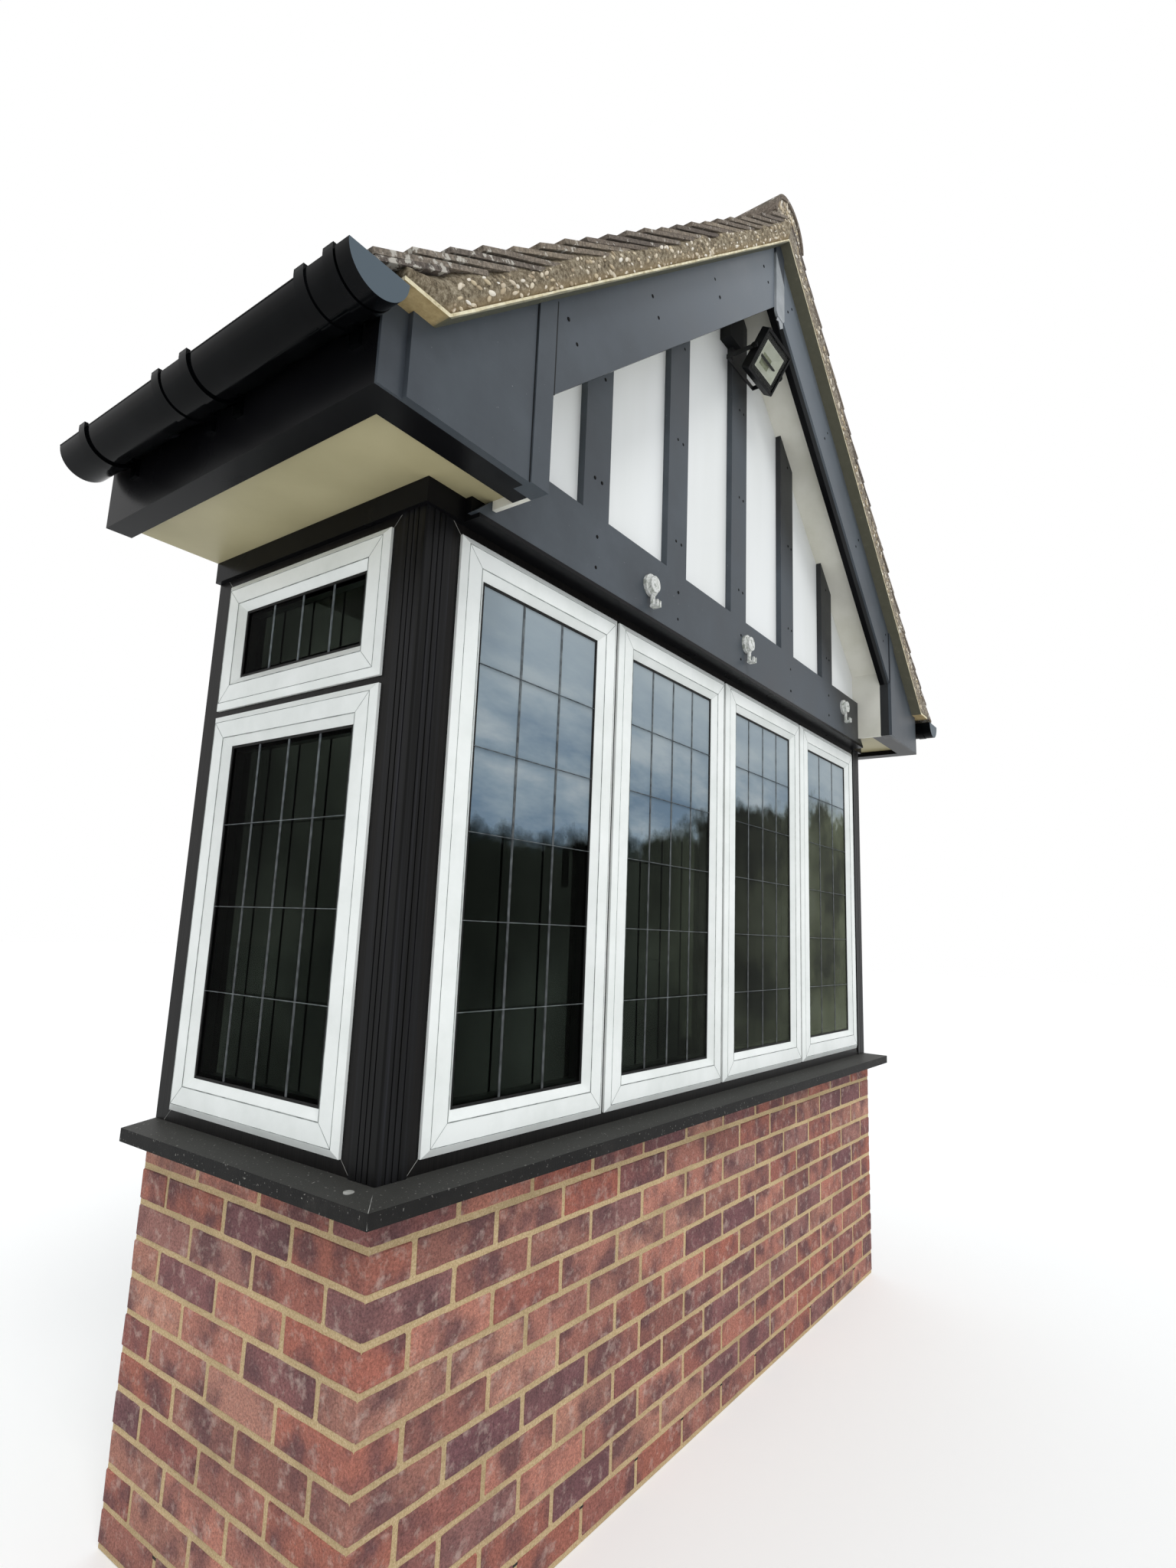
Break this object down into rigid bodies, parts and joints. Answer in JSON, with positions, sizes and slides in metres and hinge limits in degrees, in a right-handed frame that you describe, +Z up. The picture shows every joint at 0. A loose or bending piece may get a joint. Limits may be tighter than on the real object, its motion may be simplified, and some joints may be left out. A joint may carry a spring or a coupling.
{
  "type": "bay window",
  "caption": "Box bay window on a brick plinth: leaded casements between fluted posts, boarded gable with a tilting floodlight, and its own tiled roof with half-round gutters.",
  "frame": {"origin": "ground level, where the plane of the house wall meets the centre line of the bay", "axes": "+Z up, +Y into the house (the bay projects towards -Y), +X to the right seen from the front"},
  "size_m": [3.424, 1.01, 3.8124],
  "materials": {
    "brick": "matte",
    "concrete": "matte",
    "sill_grey": "satin",
    "black_frame": "satin",
    "white_sash": "gloss",
    "glass": "gloss",
    "handle": "satin",
    "painted_board": "satin",
    "timber": "matte",
    "plaster": "matte",
    "slate_grey": "satin",
    "white_panel": "satin",
    "cream_soffit": "satin",
    "cement_board": "matte",
    "mortar": "matte",
    "tile": "matte",
    "gutter_black": "satin",
    "clear_plastic": "gloss",
    "lamp_metal": "satin",
    "yoke_steel": "satin",
    "lamp_glass": "gloss",
    "black_box": "satin"
  },
  "bodies": {
    "bay": {"apex_cover": "slate_grey", "barge_board_left": "slate_grey", "barge_board_right": "slate_grey", "battened_deck_left": "timber", "battened_deck_right": "timber", "beam_hooks": "clear_plastic", "box_end_left": "slate_grey", "box_end_right": "slate_grey", "box_linings": "white_panel", "ceiling": "plaster", "ceiling_joists": "timber", "corner_posts": "black_frame", "fascias": "slate_grey", "floodlight_yoke": "yoke_steel", "floor_slab": "concrete", "front_frame": "black_frame", "front_glass": "glass", "front_sashes": "white_sash", "gable_beam": "slate_grey", "gable_panel": "white_panel", "gable_studs": "slate_grey", "gutter_left": "gutter_black", "gutter_right": "gutter_black", "head_trim": "black_frame", "junction_box": "black_box", "lintel": "timber", "plinth_front": "brick", "plinth_left": "brick", "plinth_right": "brick", "rafters_left": "timber", "rafters_right": "timber", "ridge_board": "timber", "ridge_mortar": "mortar", "ridge_tiles": "tile", "roof_tiles_left": "tile", "roof_tiles_right": "tile", "side_frame_left": "black_frame", "side_frame_right": "black_frame", "side_glass": "glass", "side_sashes_left": "white_sash", "side_sashes_right": "white_sash", "sill_front": "sill_grey", "sill_left": "sill_grey", "sill_right": "sill_grey", "soffit_left": "cream_soffit", "soffit_right": "cream_soffit", "soffit_trims": "black_frame", "undercloak": "cement_board", "verge_mortar": "mortar", "verge_soffit": "cream_soffit", "verge_trim": "black_frame", "window_board": "painted_board", "window_handles": "handle"},
    "floodlight": {"floodlight_head": "lamp_metal", "floodlight_lens": "lamp_glass"}
  },
  "joints": [
    {"name": "floodlight_tilt", "type": "hinge", "parent": "bay", "child": "floodlight", "pos_m": [0, -0.917, 3.233], "axis": [1, 0, 0], "range_deg": [-33, 57]}
  ]
}
